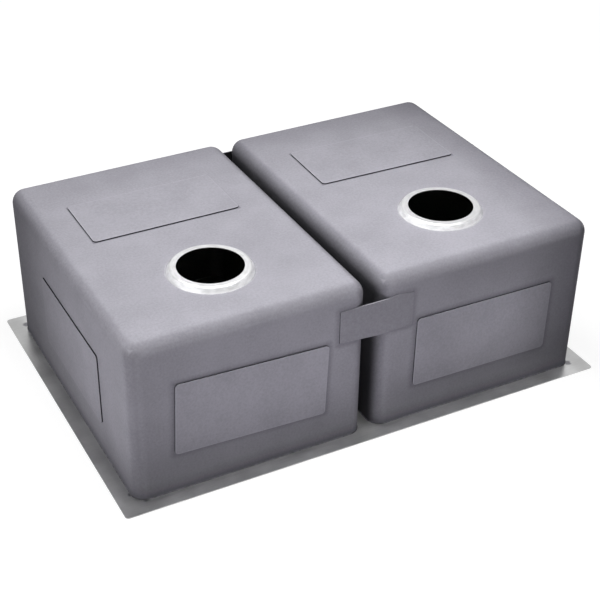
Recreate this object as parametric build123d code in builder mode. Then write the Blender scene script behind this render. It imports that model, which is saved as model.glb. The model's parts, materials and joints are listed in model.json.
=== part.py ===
from build123d import *
from math import cos, radians, tan
import os

# Undermount double bowl kitchen sink in sheet steel, resting upside down on its rim.
# Millimetres. The origin is the centre of the rim's sealing face, which lies on the
# ground. +Z points out of the bowl bottoms. +X runs along the rim from the left bowl
# to the right bowl. The drains are set toward -Y, the wall side of the fitted sink.

# ---------------------------------------------------------------- driving sizes
# Bowls, measured on the outside of the steel
bowl_length = 332.5
bowl_width = 459.5
bowl_height = 239.0
bowl_spacing = 19.0
bowl_radius = 19.2
sheet_thickness = 1.2

# Rim plate that both bowls are welded into
flange_width = 23.0
rim_thickness = 1.2
rim_corner_radius = 5.0
rim_edge_break = 0.2
bead_leg = 1.6

# Drain recess pressed into each bowl bottom
drain_hole_diameter = 90.0
drain_to_wall_side = 120.5
recess_diameter = 117.0
recess_depth = 8.0
recess_wall_angle = 30.0
recess_shoulder_radius = 4.0
recess_foot_radius = 2.0

# Sprayed undercoating, which stops at the foot of the drain recess
coat_thickness = 0.8
coat_to_recess = 0.5

# Sound deadening pads, all cut to one size
pad_length = 217.0
pad_width = 109.0
pad_thickness = 3.0
pad_corner_radius = 5.5
pad_edge_radius = 0.7

# Where each pad lies, and how far it was turned when it was stuck on
left_bottom_pad_to_room_side = 98.0
left_bottom_pad_shift = -3.0
right_bottom_pad_to_room_side = 94.5
right_bottom_pad_turn = -1.2
left_wall_pad_height = 112.0
left_wall_pad_turn = -2.2
right_wall_pad_height = 107.0
right_wall_pad_turn = -0.6
room_pad_height = 110.0
end_pad_height = 109.0
end_pad_shift = 14.0

# Straps that tie the two bowls together near their bottoms
strap_length = 110.0
strap_width = 51.0
strap_thickness = 2.0
strap_edge_radius = 0.4
strap_shift = 4.7
wall_strap_drop = 56.5
room_strap_drop = 49.0

# Uneven hand cut edges of a strap: a crest on top, a belly below, one lifted corner
strap_crest = 2.8
strap_crest_at = 31.0
strap_crest_reach = 14.0
strap_belly = 1.7
strap_belly_at = 4.0
strap_corner_lift = 2.4

# ---------------------------------------------------------------- derived places
bowl_centre = (bowl_length + bowl_spacing) / 2
wall_side = -bowl_width / 2
room_side = bowl_width / 2
bowl_end = bowl_centre + bowl_length / 2
rim_length = 2 * (bowl_end + flange_width)
rim_width = bowl_width + 2 * flange_width
drain_y = wall_side + drain_to_wall_side
coat_start = rim_thickness + bead_leg
left_bottom_pad_y = room_side - left_bottom_pad_to_room_side - pad_width / 2
right_bottom_pad_y = room_side - right_bottom_pad_to_room_side - pad_width / 2


# ---------------------------------------------------------------- shared forms
def bowl_form(centre_x, grow, start):
    """Closed bowl shape with its drain recess, offset outward from the steel by grow."""
    top = bowl_height + grow
    slope = radians(recess_wall_angle)
    foot = recess_diameter / 2 + grow * (1 / cos(slope) - tan(slope))
    with BuildPart() as form:
        with BuildSketch(Plane.XY.offset(start)):
            with Locations((centre_x, 0)):
                Rectangle(bowl_length + 2 * grow, bowl_width + 2 * grow)
        extrude(amount=top - start)
        uprights = form.edges().filter_by(Axis.Z)
        brim = form.faces().sort_by(Axis.Z)[-1].edges()
        fillet(uprights + brim, bowl_radius + grow)
        with BuildSketch(Plane.XY.offset(top)):
            with Locations((centre_x, drain_y)):
                Circle(foot)
        extrude(amount=recess_depth, taper=recess_wall_angle)
        shoulder = form.faces().sort_by(Axis.Z)[-1].edges()
        fillet(shoulder, recess_shoulder_radius + grow)
        foot_edge = form.edges().filter_by(GeomType.CIRCLE).filter_by(
            lambda edge: abs(edge.radius - foot) < 0.01
        )
        fillet(foot_edge, recess_foot_radius - grow)
    return form.part


def steel_bowl(centre_x):
    """Open steel shell of one bowl with the drain hole through its recess."""
    with BuildPart() as shell:
        add(bowl_form(centre_x, 0, 0))
        add(bowl_form(centre_x, -sheet_thickness, -sheet_thickness), mode=Mode.SUBTRACT)
        with BuildSketch(Plane.XY.offset(bowl_height)):
            with Locations((centre_x, drain_y)):
                Circle(drain_hole_diameter / 2)
        extrude(amount=2 * recess_depth, mode=Mode.SUBTRACT)
    return shell.part


def weld_bead(centre_x):
    """Weld bead in the corner between the bowl wall and the back of the rim."""
    with BuildPart() as bead:
        with BuildSketch(Plane.XY.offset(rim_thickness)):
            with Locations((centre_x, 0)):
                RectangleRounded(
                    bowl_length + 2 * bead_leg, bowl_width + 2 * bead_leg, bowl_radius + bead_leg
                )
        extrude(amount=bead_leg, taper=45)
        with BuildSketch(Plane.XY.offset(rim_thickness)):
            with Locations((centre_x, 0)):
                RectangleRounded(bowl_length, bowl_width, bowl_radius)
        extrude(amount=bead_leg, mode=Mode.SUBTRACT)
    return bead.part


def pad_on(face_plane, turn):
    """Sound deadening pad stuck on the plane of one bowl face."""
    with BuildPart() as pad:
        with BuildSketch(face_plane):
            RectangleRounded(pad_length, pad_width, pad_corner_radius, rotation=turn)
        extrude(amount=pad_thickness)
        outer = pad.faces().sort_by(Axis(face_plane.origin, face_plane.z_dir))[-1]
        fillet(outer.edges(), pad_edge_radius)
    return pad.part


def strap_on(face_plane):
    """Strap across the gap, with its lower edge toward the rim."""
    half = strap_length / 2
    edge = strap_width / 2
    with BuildPart() as strap:
        with BuildSketch(face_plane):
            with BuildLine():
                Polyline(
                    (-half, edge),
                    (strap_crest_at - strap_crest_reach, edge),
                    (strap_crest_at, edge + strap_crest),
                    (strap_crest_at + strap_crest_reach, edge),
                    (half, edge),
                    (half, -edge),
                    (strap_belly_at, -edge - strap_belly),
                    (-half, -edge + strap_corner_lift),
                    close=True,
                )
            make_face()
        extrude(amount=strap_thickness)
        outer = strap.faces().sort_by(Axis(face_plane.origin, face_plane.z_dir))[-1]
        fillet(outer.edges(), strap_edge_radius)
    return strap.part


def coat_over(centre_x, covered):
    """Sprayed skin over one bowl, open round the drain and where pieces sit on the steel."""
    with BuildPart() as skin:
        add(bowl_form(centre_x, coat_thickness, coat_start))
        add(bowl_form(centre_x, 0, 0), mode=Mode.SUBTRACT)
        with BuildSketch(Plane.XY.offset(bowl_height)):
            with Locations((centre_x, drain_y)):
                Circle(recess_diameter / 2 + coat_to_recess)
        extrude(amount=2 * recess_depth, mode=Mode.SUBTRACT)
        for piece in covered:
            add(piece, mode=Mode.SUBTRACT)
    return skin.part


# ---------------------------------------------------------------- faces that carry pieces
def wall_plane(x, z):
    """Wall side of the bowls, seen from outside with +X to the right."""
    return Plane(origin=(x, wall_side, z), x_dir=(1, 0, 0), z_dir=(0, -1, 0))


def room_plane(x, z):
    """Room side of the bowls, seen from outside with +X to the left."""
    return Plane(origin=(x, room_side, z), x_dir=(-1, 0, 0), z_dir=(0, 1, 0))


# ---------------------------------------------------------------- rim and bowls
with BuildPart() as rim_plate:
    with BuildSketch(Plane.XY):
        RectangleRounded(rim_length, rim_width, rim_corner_radius)
    extrude(amount=rim_thickness)
    chamfer(rim_plate.edges().filter_by(Axis.Z, reverse=True), rim_edge_break)
    with BuildSketch(Plane.XY):
        with Locations((-bowl_centre, 0), (bowl_centre, 0)):
            RectangleRounded(bowl_length, bowl_width, bowl_radius)
    extrude(amount=rim_thickness, mode=Mode.SUBTRACT)
rim_plate.part.label = "rim_plate"

with BuildPart() as left_bowl:
    add(steel_bowl(-bowl_centre))
left_bowl.part.label = "left_bowl"

with BuildPart() as right_bowl:
    add(steel_bowl(bowl_centre))
right_bowl.part.label = "right_bowl"

with BuildPart() as left_weld_bead:
    add(weld_bead(-bowl_centre))
left_weld_bead.part.label = "left_weld_bead"

with BuildPart() as right_weld_bead:
    add(weld_bead(bowl_centre))
right_weld_bead.part.label = "right_weld_bead"

# ---------------------------------------------------------------- pads
with BuildPart() as left_bottom_pad:
    left_place = (-bowl_centre + left_bottom_pad_shift, left_bottom_pad_y, bowl_height)
    add(pad_on(Plane(origin=left_place), 0))
left_bottom_pad.part.label = "left_bottom_pad"

with BuildPart() as right_bottom_pad:
    right_place = (bowl_centre, right_bottom_pad_y, bowl_height)
    add(pad_on(Plane(origin=right_place), right_bottom_pad_turn))
right_bottom_pad.part.label = "right_bottom_pad"

with BuildPart() as left_wall_pad:
    add(pad_on(wall_plane(-bowl_centre, left_wall_pad_height), left_wall_pad_turn))
left_wall_pad.part.label = "left_wall_pad"

with BuildPart() as right_wall_pad:
    add(pad_on(wall_plane(bowl_centre, right_wall_pad_height), right_wall_pad_turn))
right_wall_pad.part.label = "right_wall_pad"

with BuildPart() as left_room_pad:
    add(pad_on(room_plane(-bowl_centre, room_pad_height), 0))
left_room_pad.part.label = "left_room_pad"

with BuildPart() as right_room_pad:
    add(pad_on(room_plane(bowl_centre, room_pad_height), 0))
right_room_pad.part.label = "right_room_pad"

with BuildPart() as left_end_pad:
    left_end = Plane(
        origin=(-bowl_end, -end_pad_shift, end_pad_height), x_dir=(0, -1, 0), z_dir=(-1, 0, 0)
    )
    add(pad_on(left_end, 0))
left_end_pad.part.label = "left_end_pad"

with BuildPart() as right_end_pad:
    right_end = Plane(
        origin=(bowl_end, -end_pad_shift, end_pad_height), x_dir=(0, 1, 0), z_dir=(1, 0, 0)
    )
    add(pad_on(right_end, 0))
right_end_pad.part.label = "right_end_pad"

# ---------------------------------------------------------------- straps
with BuildPart() as wall_strap:
    add(strap_on(wall_plane(strap_shift, bowl_height - wall_strap_drop)))
wall_strap.part.label = "wall_strap"

with BuildPart() as room_strap:
    add(strap_on(room_plane(strap_shift, bowl_height - room_strap_drop)))
room_strap.part.label = "room_strap"

# ---------------------------------------------------------------- undercoating
straps = [wall_strap.part, room_strap.part]
left_pads = [left_bottom_pad.part, left_wall_pad.part, left_room_pad.part, left_end_pad.part]
right_pads = [right_bottom_pad.part, right_wall_pad.part, right_room_pad.part, right_end_pad.part]

with BuildPart() as left_undercoating:
    add(coat_over(-bowl_centre, left_pads + straps))
left_undercoating.part.label = "left_undercoating"

with BuildPart() as right_undercoating:
    add(coat_over(bowl_centre, right_pads + straps))
right_undercoating.part.label = "right_undercoating"

# ---------------------------------------------------------------- files
os.makedirs("parts", exist_ok=True)
export_step(rim_plate.part, "parts/rim_plate.step")
export_step(left_bowl.part, "parts/left_bowl.step")
export_step(right_bowl.part, "parts/right_bowl.step")
export_step(left_weld_bead.part, "parts/left_weld_bead.step")
export_step(right_weld_bead.part, "parts/right_weld_bead.step")
export_step(left_undercoating.part, "parts/left_undercoating.step")
export_step(right_undercoating.part, "parts/right_undercoating.step")
export_step(left_bottom_pad.part, "parts/left_bottom_pad.step")
export_step(right_bottom_pad.part, "parts/right_bottom_pad.step")
export_step(left_wall_pad.part, "parts/left_wall_pad.step")
export_step(right_wall_pad.part, "parts/right_wall_pad.step")
export_step(left_room_pad.part, "parts/left_room_pad.step")
export_step(right_room_pad.part, "parts/right_room_pad.step")
export_step(left_end_pad.part, "parts/left_end_pad.step")
export_step(right_end_pad.part, "parts/right_end_pad.step")
export_step(wall_strap.part, "parts/wall_strap.step")
export_step(room_strap.part, "parts/room_strap.step")
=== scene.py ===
import json
from math import radians

import bpy
from mathutils import Matrix, Vector


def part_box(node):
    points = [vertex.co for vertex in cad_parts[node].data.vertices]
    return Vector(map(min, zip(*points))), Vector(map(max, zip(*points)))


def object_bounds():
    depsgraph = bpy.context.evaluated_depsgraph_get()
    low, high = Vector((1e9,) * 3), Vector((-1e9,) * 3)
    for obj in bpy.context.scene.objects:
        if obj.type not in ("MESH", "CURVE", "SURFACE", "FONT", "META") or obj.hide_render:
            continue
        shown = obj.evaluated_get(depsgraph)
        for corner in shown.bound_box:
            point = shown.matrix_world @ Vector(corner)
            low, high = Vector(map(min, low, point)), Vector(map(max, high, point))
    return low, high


# Looks of the double bowl sink: finishes, soft studio light and the camera.
# Lengths are metres in the frame of the model. The sink rests upside down on its rim.

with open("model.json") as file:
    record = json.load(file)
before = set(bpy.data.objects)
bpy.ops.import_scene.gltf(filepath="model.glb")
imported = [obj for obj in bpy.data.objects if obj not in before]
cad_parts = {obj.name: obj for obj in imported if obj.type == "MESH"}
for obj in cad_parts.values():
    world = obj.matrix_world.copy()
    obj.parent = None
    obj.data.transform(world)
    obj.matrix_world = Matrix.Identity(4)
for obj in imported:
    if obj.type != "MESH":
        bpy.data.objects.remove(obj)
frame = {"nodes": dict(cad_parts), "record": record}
cad_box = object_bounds()
nodes = frame["nodes"]
mounts = {mount["name"]: mount for mount in frame["record"]["mounts"]}


def half_size(node):
    """Half the sizes of a node's box."""
    lowest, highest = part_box(node)
    return tuple((high - low) / 2 for low, high in zip(lowest, highest))


def middle(node):
    """Centre of a node's box."""
    lowest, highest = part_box(node)
    return tuple((low + high) / 2 for low, high in zip(lowest, highest))


# ---------------------------------------------------------------- camera and picture
# Angles are degrees. The focal length and the centre are pixels of the square picture.
IMAGE_SIDE = 600.0
SENSOR_MM = 36.0
CAMERA_PLACE = (-0.7657, -1.4489, 1.1429)
CAMERA_HEADING = 24.98
CAMERA_PITCH = -33.55
CAMERA_ROLL = -0.99
FOCAL_PIXELS = 1325.2
CENTRE_PIXEL = (235.1, 312.7)

# ---------------------------------------------------------------- sizes that finishes follow
BOWL_CENTRE, DRAIN_Y, _ = mounts["right_drain"]["pos_m"]
# How far out the end walls and the long walls are, and how high the steel of the bottoms is.
END_WALL, LONG_WALL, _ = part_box("right_bowl")[1]
BOWL_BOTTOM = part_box("left_bottom_pad")[0][2]
RIM_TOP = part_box("rim_plate")[1][2]
OVERSPRAY_RADIUS = 0.0585
GAP_REACH = 0.020

# Every pad has the size of the left bottom pad, which isn't turned.
PAD_HALF_LENGTH, PAD_HALF_WIDTH, _ = half_size("left_bottom_pad")
STRAP_HALF_LENGTH = half_size("wall_strap")[0]
STRAP_HALF_WIDTH = 0.051 / 2
# Deeper than a pad or strap is thick, so that the coat beside it lies between the same two faces.
COVER_HALF_DEPTH = 0.003

# Degrees that pads are turned in the plane of the wall or bottom they are stuck on.
PAD_TURNS = {"left_wall_pad": -2.2, "right_wall_pad": -0.6, "right_bottom_pad": 1.2}
# Lightness of a pad's cut edge and of its face, for each side of a bowl; the differences between sides
# are painted light and shade.
PAD_PAINTED_LIGHTNESS = {"bottom": (1.0, 1.0), "wall": (2.4, 1.12), "room": (2.4, 1.12), "end": (1.8, 1.06)}
# X, Y and reach of each dark patch on the rim, at the outer corners of the bowls.
CORNER_DARK_MARKS = (
    (0.3390, -0.2275, 0.0055),
    (-0.3405, 0.2270, 0.0060),
    (-0.3422, -0.2110, 0.0040),
    (-0.3280, -0.2300, 0.0040),
)

# ---------------------------------------------------------------- colours, linear
COAT_GREY = (0.404, 0.395, 0.440)
# Dark blue grey that the coat is mixed toward for its painted shade and shadows, and the rim for its
# dark corner patches.
DARK_BLUE_GREY = (0.082, 0.078, 0.100)
# Near black, for dark cut edges and sheared ends, and for painted shade in the gap, on the strap's
# back and at the seam's corners.
NEAR_BLACK = (0.040, 0.040, 0.045)
RIM_STEEL = (0.70, 0.70, 0.70)
INNER_STEEL = (0.56, 0.56, 0.555)
RING_STEEL = (0.66, 0.66, 0.67)
FLOOR_GREY = (0.20, 0.20, 0.20)
PANEL_LIGHT = (0.955, 0.935, 1.0)

# Most of a noise lies between these.
NOISE_LOW = 0.3
NOISE_HIGH = 0.7


def shade(colour, amount):
    """A colour made darker by an amount below 1, or lighter by one above 1."""
    return tuple(channel * amount for channel in colour)


# ---------------------------------------------------------------- node helpers
class Finish:
    """A material built from nodes on object coordinates, in metres."""

    def __init__(self, name):
        self.material = bpy.data.materials.new(name)
        self.material.use_nodes = True
        self.tree = self.material.node_tree
        self.tree.nodes.clear()
        self.shader = self.tree.nodes.new("ShaderNodeBsdfPrincipled")
        self.output = self.tree.nodes.new("ShaderNodeOutputMaterial")
        self.put(self.output.inputs["Surface"], self.shader.outputs["BSDF"])
        self.place = self.tree.nodes.new("ShaderNodeTexCoord").outputs["Object"]
        self.normal = self.tree.nodes.new("ShaderNodeNewGeometry").outputs["Normal"]

    def put(self, socket, value):
        """Give a socket a number, a colour, a vector or another socket."""
        if isinstance(value, bpy.types.NodeSocket):
            self.tree.links.new(value, socket)
        elif isinstance(value, tuple) and socket.type == "RGBA":
            socket.default_value = (*value, 1.0)
        else:
            socket.default_value = value

    def set(self, name, value):
        """Give one of the shader's sockets a value."""
        self.put(self.shader.inputs[name], value)

    def calc(self, operation, first, second=0.0):
        """Result of one operation on numbers."""
        node = self.tree.nodes.new("ShaderNodeMath")
        node.operation = operation
        self.put(node.inputs[0], first)
        self.put(node.inputs[1], second)
        return node.outputs["Value"]

    def plus(self, first, second):
        return self.calc("ADD", first, second)

    def times(self, first, second):
        return self.calc("MULTIPLY", first, second)

    def larger(self, first, second):
        return self.calc("MAXIMUM", first, second)

    def smaller(self, first, second):
        return self.calc("MINIMUM", first, second)

    def unsigned(self, number):
        return self.calc("ABSOLUTE", number)

    def vector_calc(self, operation, first, second=(0.0, 0.0, 0.0)):
        """Result of one operation on vectors, which is a number for LENGTH."""
        node = self.tree.nodes.new("ShaderNodeVectorMath")
        node.operation = operation
        self.put(node.inputs[0], first)
        self.put(node.inputs[1], second)
        return node.outputs["Value" if operation == "LENGTH" else "Vector"]

    def part(self, vector, axis):
        """One component of a vector."""
        node = self.tree.nodes.new("ShaderNodeSeparateXYZ")
        self.put(node.inputs["Vector"], vector)
        return node.outputs[axis]

    def joined(self, x, y, z):
        """A vector of three numbers."""
        node = self.tree.nodes.new("ShaderNodeCombineXYZ")
        for socket, value in zip(node.inputs, (x, y, z)):
            self.put(socket, value)
        return node.outputs["Vector"]

    def largest(self, vector):
        """The largest component of a vector."""
        x, y, z = (self.part(vector, axis) for axis in "XYZ")
        return self.larger(self.larger(x, y), z)

    def tilt(self):
        """The normal without its signs, so 1 along the axis that a face looks along."""
        return self.vector_calc("ABSOLUTE", self.normal)

    def level(self, source, low, high, at_low=0.0, at_high=1.0):
        """Source carried from low..high to at_low..at_high, and held beyond."""
        node = self.tree.nodes.new("ShaderNodeMapRange")
        node.interpolation_type = "SMOOTHSTEP"
        self.put(node.inputs["From Min"], low)
        self.put(node.inputs["From Max"], high)
        self.put(node.inputs["To Min"], at_low)
        self.put(node.inputs["To Max"], at_high)
        self.put(node.inputs["Value"], source)
        return node.outputs["Result"]

    def mix(self, amount, first, second, kind="RGBA"):
        """Colour, or number where kind is FLOAT, that goes from first to second."""
        node = self.tree.nodes.new("ShaderNodeMix")
        node.data_type = kind
        self.put(node.inputs["Factor"], amount)
        self.put(node.inputs["A"], first)
        self.put(node.inputs["B"], second)
        return node.outputs["Result"]

    def noise(self, grain, detail=2.0, roughness=0.5, vector=None):
        """Noise with features about grain metres across."""
        node = self.tree.nodes.new("ShaderNodeTexNoise")
        self.put(node.inputs["Scale"], 1.0 / grain)
        self.put(node.inputs["Detail"], detail)
        self.put(node.inputs["Roughness"], roughness)
        self.put(node.inputs["Vector"], vector or self.place)
        return node.outputs["Fac"]

    def drawn_out(self, squeeze):
        """Object coordinates squeezed along one axis, which draws noise out along it."""
        return self.vector_calc("MULTIPLY", self.place, squeeze)

    def from_noise(self, noise, at_low=0.0, at_high=1.0):
        """Noise carried to at_low..at_high."""
        return self.level(noise, NOISE_LOW, NOISE_HIGH, at_low, at_high)

    def mottled(self, noise, colour, spread, low=NOISE_LOW, high=NOISE_HIGH):
        """A colour that noise makes darker and lighter, by spread either way."""
        amount = self.level(noise, low, high)
        return self.mix(amount, shade(colour, 1.0 - spread), shade(colour, 1.0 + spread))

    def bump(self, height, depth, strength=1.0):
        """Fine relief up to depth metres deep."""
        node = self.tree.nodes.new("ShaderNodeBump")
        self.put(node.inputs["Strength"], strength)
        self.put(node.inputs["Distance"], depth)
        self.put(node.inputs["Height"], height)
        self.set("Normal", node.outputs["Normal"])

    def beyond_box(self, centre, half_sizes, turn=0.0, turn_axis="Y_AXIS"):
        """How far a point lies beyond each pair of a box's faces, below 0 between them.

        The box is turned by degrees about its centre.
        """
        local = self.vector_calc("SUBTRACT", self.place, centre)
        if turn:
            spin = self.tree.nodes.new("ShaderNodeVectorRotate")
            spin.rotation_type = turn_axis
            self.put(spin.inputs["Angle"], radians(turn))
            self.put(spin.inputs["Vector"], local)
            local = spin.outputs["Vector"]
        return self.vector_calc("SUBTRACT", self.vector_calc("ABSOLUTE", local), half_sizes)

    def to_box(self, *box):
        """Distance to a box, in metres, 0 inside it."""
        return self.vector_calc("LENGTH", self.vector_calc("MAXIMUM", self.beyond_box(*box)))

    def to_drain(self):
        """Distance from the middle of the bowl's drain, and the angle round it."""
        from_middle = self.unsigned(self.part(self.place, "X"))
        across = self.calc("SUBTRACT", from_middle, BOWL_CENTRE)
        along = self.calc("SUBTRACT", self.part(self.place, "Y"), DRAIN_Y)
        distance = self.vector_calc("LENGTH", self.joined(across, along, 0.0))
        return distance, self.calc("ARCTAN2", along, across)


# ---------------------------------------------------------------- sprayed coat
def sprayed_colour(finish, amount=1.0):
    """Bluish grey of the spray, mottled over centimetres and speckled over millimetres."""
    cloud = finish.noise(0.05, 3.0)
    speckle = finish.noise(0.0032, 2.5, 0.65)
    both = finish.plus(finish.times(cloud, 0.4), finish.times(speckle, 0.6))
    return finish.mottled(both, shade(COAT_GREY, amount), 0.10)


def sprayed_surface(finish):
    """Dull sheen and the fine orange peel of the spray."""
    finish.set("Roughness", finish.from_noise(finish.noise(0.006), 0.58, 0.70))
    finish.set("Specular IOR Level", 0.05)
    peel = finish.noise(0.0055, 1.5)
    grain = finish.noise(0.0020, 1.0)
    finish.bump(finish.plus(peel, finish.times(grain, 0.25)), 0.0004)


def painted_shade_toward_ends(finish, colour):
    """Painted shade: the coat darkens toward the room side and the right end, and toward the back and
    the foot of the left end wall.
    """
    x, y, z = (finish.part(finish.place, axis) for axis in "XYZ")
    tilt = finish.tilt()
    not_end_wall = finish.level(finish.part(tilt, "X"), 0.7, 0.95, 1.0, 0.0)
    not_long_wall = finish.level(finish.part(tilt, "Y"), 0.7, 0.95, 1.0, 0.0)

    to_room = finish.level(y, LONG_WALL - 0.100, LONG_WALL - 0.005, 0.0, 0.21)
    to_room = finish.times(to_room, finish.level(x, 0.012 - END_WALL, 0.0, 0.3, 1.0))
    to_room = finish.times(to_room, not_long_wall)
    to_right = finish.level(x, END_WALL - 0.092, END_WALL - 0.007, 0.0, 0.26)
    to_right = finish.times(to_right, not_end_wall)

    far_back = finish.level(y, 0.05, 0.20, 0.0, 0.27)
    low = finish.level(z, 0.010, 0.070, 0.22, 0.0)
    low = finish.times(low, finish.level(y, -0.20, -0.05, 1.0, 0.4))
    on_left_end = finish.level(x, -END_WALL - 0.001, -END_WALL + 0.007, 1.0, 0.0)
    left_end = finish.times(on_left_end, finish.larger(far_back, low))

    painted_shade_amount = finish.plus(finish.plus(to_room, to_right), left_end)
    return finish.mix(painted_shade_amount, colour, DARK_BLUE_GREY)


def cover_box(piece):
    """Centre, half sizes, turn and turning axis of a pad or strap, for Finish.to_box."""
    length, width = PAD_HALF_LENGTH, PAD_HALF_WIDTH
    if piece.endswith("strap"):
        length, width = STRAP_HALF_LENGTH, STRAP_HALF_WIDTH
    turn = PAD_TURNS.get(piece, 0.0)
    if piece.endswith("bottom_pad"):
        return middle(piece), (length, width, COVER_HALF_DEPTH), turn, "Z_AXIS"
    if piece.endswith("end_pad"):
        return middle(piece), (COVER_HALF_DEPTH, length, width), turn, "X_AXIS"
    return middle(piece), (length, COVER_HALF_DEPTH, width), turn, "Y_AXIS"


def painted_shadow_round_covers(finish, colour, side_name):
    """Painted soft shadow round pads and straps on the walls, and a narrow painted contact shadow
    round the bottom pad.
    """
    nearest = 1.0
    for piece in (f"{side_name}_wall_pad", f"{side_name}_room_pad", "wall_strap", "room_strap"):
        nearest = finish.smaller(finish.to_box(*cover_box(piece)), nearest)
    colour = finish.mix(finish.level(nearest, 0.0, 0.010, 0.30, 0.0), colour, DARK_BLUE_GREY)
    from_bottom_pad = finish.to_box(*cover_box(side_name + "_bottom_pad"))
    contact_shadow = finish.level(from_bottom_pad, 0.0005, 0.0026, 0.45, 0.0)
    return finish.mix(contact_shadow, colour, DARK_BLUE_GREY)


def painted_shade_at_foot(finish, colour, height):
    """Painted shade over the lowest centimetres of the walls, darkest just above the rim."""
    haze = finish.level(height, 0.004, 0.028, 0.40, 0.0)
    line = finish.level(height, 0.002, 0.014, 0.28, 0.0)
    return finish.mix(finish.plus(haze, line), colour, DARK_BLUE_GREY)


def painted_bend_shade_and_corner_highlight(finish, colour, tilt):
    """Painted shade along bends, and a painted highlight where three sides meet in a corner."""
    straightness = finish.largest(tilt)
    bend_shade = finish.level(straightness, 0.85, 0.985, 0.17, 0.0)
    corner = finish.level(straightness, 0.60, 0.70, 0.40, 0.0)
    colour = finish.mix(bend_shade, colour, DARK_BLUE_GREY)
    return finish.mix(corner, colour, shade(COAT_GREY, 1.55))


def painted_gap_shade(finish, colour, height, tilt):
    """Painted shade in the gap between the bowls, a little lighter near its top."""
    from_middle = finish.unsigned(finish.part(finish.place, "X"))
    near = finish.level(from_middle, GAP_REACH + 0.010, GAP_REACH)
    facing = finish.part(tilt, "X")
    deep = finish.times(finish.calc("POWER", facing, 4.0), 0.92)
    shallow = finish.times(finish.calc("POWER", facing, 2.0), 0.66)
    near_top = finish.level(height, BOWL_BOTTOM - 0.033, BOWL_BOTTOM - 0.017)
    gap_shade = finish.mix(near_top, deep, shallow, "FLOAT")
    return finish.mix(finish.times(near, gap_shade), colour, NEAR_BLACK)


def bright_fringe(finish, colour):
    """The coat thins to bright steel at each drain recess, along an uneven line."""
    drift = finish.times(finish.noise(0.010, 3.0), 0.004)
    from_drain = finish.plus(finish.to_drain()[0], drift)
    fringe = finish.level(from_drain, OVERSPRAY_RADIUS + 0.0015, OVERSPRAY_RADIUS + 0.004, 0.6, 0.0)
    on_bottom = finish.level(finish.part(finish.normal, "Z"), 0.5, 0.9)
    return finish.mix(finish.times(fringe, on_bottom), colour, RING_STEEL)


def bowl_coat(side_name):
    """Spray over one bowl, with its painted shade, shadows and highlights, and a pale fringe at each
    drain.
    """
    finish = Finish(side_name + "_coat")
    height = finish.part(finish.place, "Z")
    tilt = finish.tilt()
    colour = painted_shade_toward_ends(finish, sprayed_colour(finish))
    colour = painted_shadow_round_covers(finish, colour, side_name)
    colour = painted_shade_at_foot(finish, colour, height)
    colour = painted_bend_shade_and_corner_highlight(finish, colour, tilt)
    colour = painted_gap_shade(finish, colour, height, tilt)
    finish.set("Base Color", bright_fringe(finish, colour))
    sprayed_surface(finish)
    return finish.material


def coated_pad(piece, edge_shade, face_shade):
    """Sprayed pad with dark cut edges and a painted highlight along the rim of its face."""
    finish = Finish("coated_" + piece)
    axis = {"bottom": "Z", "end": "X"}.get(piece.split("_")[1], "Y")
    facing = finish.level(finish.unsigned(finish.part(finish.normal, axis)), 0.3, 0.8)
    face = painted_shade_toward_ends(finish, sprayed_colour(finish, face_shade))
    along_face = tuple(float(name != axis) for name in "XYZ")
    through_face = tuple(float(name == axis) for name in "XYZ")
    beyond = finish.vector_calc("MULTIPLY", finish.beyond_box(*cover_box(piece)), along_face)
    beyond = finish.vector_calc("SUBTRACT", beyond, through_face)
    rim_highlight = finish.level(finish.largest(beyond), -0.0022, -0.0012, 0.0, 0.5)
    face = finish.mix(rim_highlight, face, shade(COAT_GREY, 1.30))
    finish.set("Base Color", finish.mix(facing, shade(NEAR_BLACK, edge_shade), face))
    sprayed_surface(finish)
    return finish.material


def coated_strap():
    """Sprayed strap with painted shade on its long edges and on its back, and dark on its sheared
    ends.
    """
    finish = Finish("coated_strap")
    face = sprayed_colour(finish, 0.87)
    long_edge_shade = finish.level(finish.unsigned(finish.part(finish.normal, "Z")), 0.2, 0.6)
    colour = finish.mix(long_edge_shade, face, shade(COAT_GREY, 0.70))
    outward = finish.times(finish.part(finish.normal, "Y"), finish.part(finish.place, "Y"))
    back = finish.level(outward, -0.10, -0.02, 1.0, 0.0)
    colour = finish.mix(back, colour, shade(NEAR_BLACK, 0.6))
    sheared_end = finish.level(finish.unsigned(finish.part(finish.normal, "X")), 0.6, 0.9)
    finish.set("Base Color", finish.mix(sheared_end, colour, NEAR_BLACK))
    sprayed_surface(finish)
    return finish.material


# ---------------------------------------------------------------- steel
def rim_satin():
    """Satin steel with soft clouds, a faint grain, painted shade on its ends and dark patches at the
    bowls' outer corners.
    """
    finish = Finish("rim_satin")
    grain = finish.noise(0.0015, 3.0, 0.6, finish.drawn_out((0.06, 1.0, 1.0)))
    cloud = finish.noise(0.035, 4.0, 0.55)
    both = finish.plus(finish.times(cloud, 0.7), finish.times(grain, 0.3))
    satin = finish.mottled(both, RIM_STEEL, 0.08, 0.35, 0.65)

    # Painted shade darkens the rim toward its ends.
    from_middle = finish.unsigned(finish.part(finish.place, "X"))
    end_shade = finish.level(from_middle, END_WALL - 0.017, END_WALL + 0.008, 0.0, 0.36)
    satin = finish.mix(end_shade, satin, shade(RIM_STEEL, 0.25))

    drift = finish.times(finish.noise(0.006, 3.0), 0.005)
    for mark_x, mark_y, reach in CORNER_DARK_MARKS:
        away = finish.vector_calc("SUBTRACT", finish.place, (mark_x, mark_y, RIM_TOP))
        away = finish.plus(finish.vector_calc("LENGTH", away), drift)
        mark = finish.level(away, reach, reach + 0.004, 0.75, 0.0)
        satin = finish.mix(mark, satin, DARK_BLUE_GREY)

    finish.set("Base Color", satin)
    finish.set("Metallic", 0.8)
    finish.set("Roughness", finish.from_noise(cloud, 0.30, 0.38))
    finish.bump(grain, 0.00002, 0.5)
    return finish.material


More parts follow.
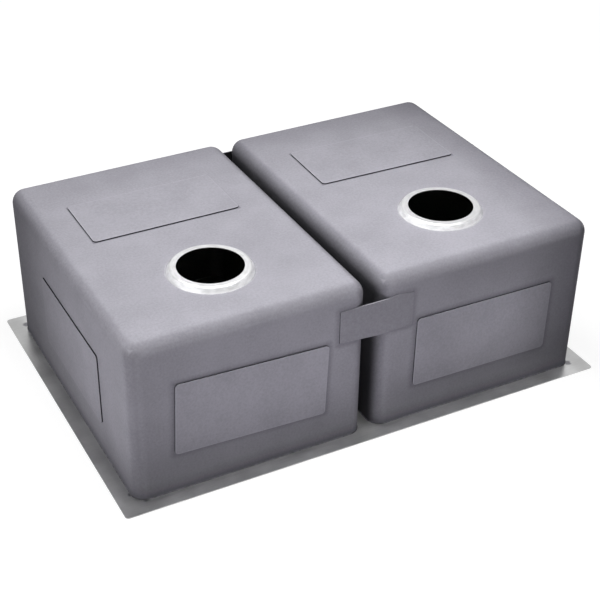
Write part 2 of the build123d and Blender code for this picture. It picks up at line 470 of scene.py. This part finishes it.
def bowl_steel():
    """Brushed steel inside, and outside a bright turned ring round each drain with a painted highlight
    on its slope.
    """
    finish = Finish("bowl_steel")
    facing_up = finish.part(finish.normal, "Z")
    radius, angle = finish.to_drain()
    round_drain = finish.joined(finish.times(angle, 0.012), radius, 0.0)
    streak = finish.noise(0.0030, vector=round_drain)
    streak_level = finish.from_noise(streak)
    ring = finish.mix(streak_level, shade(RING_STEEL, 0.89), shade(RING_STEEL, 1.01))
    # Painted highlight: the ring's slope is made much lighter than its flat.
    slope_highlight = finish.mix(streak_level, shade(RING_STEEL, 1.15), shade(RING_STEEL, 1.48))
    slope = finish.level(facing_up, 0.54, 0.80, 1.0, 0.0)
    ring = finish.mix(slope, ring, slope_highlight)

    brushed = finish.noise(0.0012, 3.0, 0.6, finish.drawn_out((1.0, 0.04, 1.0)))
    inside = finish.mottled(brushed, INNER_STEEL, 0.08, 0.35, 0.65)
    outside = finish.level(facing_up, 0.05, 0.2)
    steel = finish.mix(outside, inside, ring)

    edge = finish.plus(radius, finish.times(finish.noise(0.012, 3.0), 0.003))
    sprayed = finish.level(edge, OVERSPRAY_RADIUS + 0.0012, OVERSPRAY_RADIUS + 0.003)
    sprayed = finish.times(sprayed, outside)
    finish.set("Base Color", finish.mix(sprayed, steel, shade(COAT_GREY, 1.5)))

    matte_slope = finish.times(finish.times(slope, outside), 0.6)
    finish.set("Metallic", finish.calc("SUBTRACT", 1.0, finish.larger(sprayed, matte_slope)))
    grain = finish.mix(outside, brushed, streak, "FLOAT")
    roughness = finish.from_noise(grain, 0.30, 0.40)
    finish.set("Roughness", finish.plus(roughness, finish.times(outside, 0.07)))
    finish.bump(grain, 0.00003, 0.5)
    return finish.material


def oversprayed_seam():
    """Weld seam dulled by the spray, with painted shade where it rounds a corner."""
    finish = Finish("oversprayed_seam")
    blotch = finish.noise(0.004, 3.0)
    colour = finish.mottled(blotch, shade(COAT_GREY, 0.50), 0.40)
    tilt = finish.tilt()
    rounding = finish.smaller(finish.part(tilt, "X"), finish.part(tilt, "Y"))
    corner_shade = finish.level(rounding, 0.02, 0.20, 0.0, 0.85)
    finish.set("Base Color", finish.mix(corner_shade, colour, NEAR_BLACK))
    finish.set("Roughness", finish.from_noise(blotch, 0.55, 0.75))
    finish.bump(blotch, 0.0002)
    return finish.material


# ---------------------------------------------------------------- finishes on their pieces
def give(node, material):
    """A node gets one material, in every slot that it has."""
    slots = nodes[node].data.materials
    for index in range(len(slots)):
        slots[index] = material
    if not len(slots):
        slots.append(material)


give("rim_plate", rim_satin())
steel = bowl_steel()
seam = oversprayed_seam()
strap = coated_strap()
for side_name in ("left", "right"):
    give(side_name + "_bowl", steel)
    give(side_name + "_weld_bead", seam)
    give(side_name + "_undercoating", bowl_coat(side_name))
    for face_name, shades in PAD_PAINTED_LIGHTNESS.items():
        piece = f"{side_name}_{face_name}_pad"
        give(piece, coated_pad(piece, *shades))
give("wall_strap", strap)
give("room_strap", strap)


# ---------------------------------------------------------------- floor and background
FLOOR_HALF = 6.0
FLOOR_DROP = 0.0002
# The floor's glow dims toward the sink over SHADOW_REACH, down to SHADOW_WHITE: a painted shadow added
# to the real one.
SHADOW_REACH = 0.30
SHADOW_WHITE = 0.91
# Half sizes of a box just inside the rim's outline. The floor inside it, under the bowls, is dark.
UNDER_SINK = (0.362, 0.250, 1.0)
UNDER_SINK_EDGE = 0.0002
DIM_WORLD = 0.01


def shows_background(tree):
    """1 for rays that show the background: from the camera, off metal and through glass."""
    path = tree.nodes.new("ShaderNodeLightPath")
    shown = path.outputs["Is Camera Ray"]
    for ray in ("Is Glossy Ray", "Is Transmission Ray"):
        either = tree.nodes.new("ShaderNodeMath")
        either.operation = "MAXIMUM"
        tree.links.new(shown, either.inputs[0])
        tree.links.new(path.outputs[ray], either.inputs[1])
        shown = either.outputs["Value"]
    return shown


def floor_material():
    """Pale floor, white to the camera beyond the sink's soft shadow, with its glow dimmed toward the
    sink as a painted shadow.
    """
    finish = Finish("pale_floor")
    tree = finish.tree
    away = finish.to_box((0.0, 0.0, 0.0), UNDER_SINK)
    strength = finish.level(away, 0.0, SHADOW_REACH, SHADOW_WHITE, 1.0)
    strength = finish.times(strength, finish.calc("GREATER_THAN", away, UNDER_SINK_EDGE))
    paper = tree.nodes.new("ShaderNodeBsdfDiffuse")
    finish.put(paper.inputs["Color"], FLOOR_GREY)
    glow = tree.nodes.new("ShaderNodeEmission")
    finish.put(glow.inputs["Strength"], strength)
    white = tree.nodes.new("ShaderNodeAddShader")
    finish.put(white.inputs[0], paper.outputs[0])
    finish.put(white.inputs[1], glow.outputs[0])
    seen = tree.nodes.new("ShaderNodeMixShader")
    finish.put(seen.inputs["Fac"], shows_background(tree))
    finish.put(seen.inputs[1], paper.outputs[0])
    finish.put(seen.inputs[2], white.outputs[0])
    finish.put(finish.output.inputs["Surface"], seen.outputs[0])
    return finish.material


floor_mesh = bpy.data.meshes.new("floor")
floor_corners = [
    (-FLOOR_HALF, -FLOOR_HALF, 0.0), (FLOOR_HALF, -FLOOR_HALF, 0.0),
    (FLOOR_HALF, FLOOR_HALF, 0.0), (-FLOOR_HALF, FLOOR_HALF, 0.0),
]
floor_mesh.from_pydata(floor_corners, [], [(0, 1, 2, 3)])
floor_mesh.materials.append(floor_material())
floor = bpy.data.objects.new("floor", floor_mesh)
floor.location.z = cad_box[0][2] - FLOOR_DROP
bpy.context.scene.collection.objects.link(floor)


def studio_world():
    """White surroundings for the camera and for reflections, dim for everything else."""
    world = bpy.data.worlds.new("studio")
    world.use_nodes = True
    tree = world.node_tree
    tree.nodes.clear()
    dim = tree.nodes.new("ShaderNodeBackground")
    dim.inputs["Strength"].default_value = DIM_WORLD
    white = tree.nodes.new("ShaderNodeBackground")
    white.inputs["Color"].default_value = (1.0, 1.0, 1.0, 1.0)
    choose = tree.nodes.new("ShaderNodeMixShader")
    tree.links.new(shows_background(tree), choose.inputs["Fac"])
    tree.links.new(dim.outputs[0], choose.inputs[1])
    tree.links.new(white.outputs[0], choose.inputs[2])
    output = tree.nodes.new("ShaderNodeOutputWorld")
    tree.links.new(choose.outputs[0], output.inputs["Surface"])
    return world


bpy.context.scene.world = studio_world()


# ---------------------------------------------------------------- lamps
# Powers are watts, and spreads are degrees.
PANEL_HEIGHT = 0.001


def soft_box(name, place, target, size, power, spread=180.0):
    """Area lamp at place that faces the target, with a grid where the spread is narrow."""
    lamp = bpy.data.lights.new(name, "AREA")
    lamp.shape = "RECTANGLE"
    lamp.size, lamp.size_y = size
    lamp.energy = power
    lamp.spread = radians(spread)
    box = bpy.data.objects.new(name, lamp)
    box.location = place
    toward = Vector(target) - Vector(place)
    box.rotation_euler = toward.to_track_quat("-Z", "Y").to_euler()
    box.visible_camera = False
    bpy.context.scene.collection.objects.link(box)
    return lamp


def low_panel(name, x_range, y_range, power):
    """Bluish panel of light that lies on the floor beside the sink and shines upward."""
    centre = (sum(x_range) / 2, sum(y_range) / 2)
    size = (x_range[1] - x_range[0], y_range[1] - y_range[0])
    lamp = soft_box(name, (*centre, PANEL_HEIGHT), (*centre, 1.0), size, power)
    lamp.color = PANEL_LIGHT


soft_box(
    "overhead_near",
    place=(-0.1, -0.1, 0.9), target=(-0.1, -0.1, 0.0), size=(0.7, 0.7), power=1.66,
)
soft_box(
    "overhead_far",
    place=(-0.1, 0.0, 1.3), target=(-0.1, 0.0, 0.0), size=(0.4, 0.4), power=7.94,
)
soft_box(
    "overhead_right",
    place=(0.25, -0.30, 1.2), target=(0.22, -0.10, 0.24), size=(0.3, 0.3), power=0.088, spread=30.0,
)
soft_box(
    "front_edge_high",
    place=(0.0, -0.35, 0.9), target=(0.0, -0.34, 0.0), size=(0.7, 0.1), power=0.57,
)
soft_box(
    "front_edge_low",
    place=(-0.05, -0.30, 0.6), target=(-0.05, -0.29, 0.0), size=(0.7, 0.06), power=0.115, spread=50.0,
)
soft_box(
    "front_right",
    place=(0.20, -1.30, 0.14), target=(0.20, -0.23, 0.12), size=(0.10, 0.12), power=0.005, spread=8.0,
)
soft_box(
    "left_high",
    place=(-1.0, -0.1, 0.8), target=(-0.34, -0.05, 0.15), size=(0.4, 0.4), power=0.183, spread=60.0,
)
soft_box(
    "left_front",
    place=(-1.4, -0.5, 0.45), target=(-0.34, -0.15, 0.14), size=(0.4, 0.4), power=0.170, spread=40.0,
)
low_panel("front_panel_near", x_range=(-0.30, 0.20), y_range=(-0.62, -0.36), power=0.62)
low_panel("front_panel_far", x_range=(-0.45, 0.05), y_range=(-0.80, -0.50), power=0.84)
low_panel("front_panel_right", x_range=(0.15, 0.45), y_range=(-0.65, -0.36), power=0.085)
low_panel("left_panel", x_range=(-0.80, -0.50), y_range=(-0.35, 0.0), power=0.69)
low_panel("left_panel_front", x_range=(-0.90, -0.50), y_range=(-0.70, -0.30), power=0.34)
low_panel("back_panel", x_range=(-0.20, 0.30), y_range=(0.36, 0.62), power=0.9)
low_panel("back_panel_far", x_range=(-0.20, 0.30), y_range=(0.50, 0.80), power=0.9)
low_panel("right_panel", x_range=(0.50, 0.80), y_range=(-0.15, 0.25), power=1.6)

# ---------------------------------------------------------------- camera
heading = Matrix.Rotation(radians(-CAMERA_HEADING), 3, "Z")
pitch = Matrix.Rotation(radians(90.0 + CAMERA_PITCH), 3, "X")
roll = Matrix.Rotation(radians(CAMERA_ROLL), 3, "Z")
lens = bpy.data.cameras.new("camera")
lens.sensor_width = SENSOR_MM
lens.lens = FOCAL_PIXELS / IMAGE_SIDE * SENSOR_MM
lens.shift_x = (IMAGE_SIDE / 2 - CENTRE_PIXEL[0]) / IMAGE_SIDE
lens.shift_y = (CENTRE_PIXEL[1] - IMAGE_SIDE / 2) / IMAGE_SIDE
camera = bpy.data.objects.new("camera", lens)
camera.matrix_world = Matrix.Translation(CAMERA_PLACE) @ (heading @ pitch @ roll).to_4x4()
bpy.context.scene.collection.objects.link(camera)
bpy.context.scene.camera = camera
bpy.context.scene.view_settings.view_transform = "Standard"
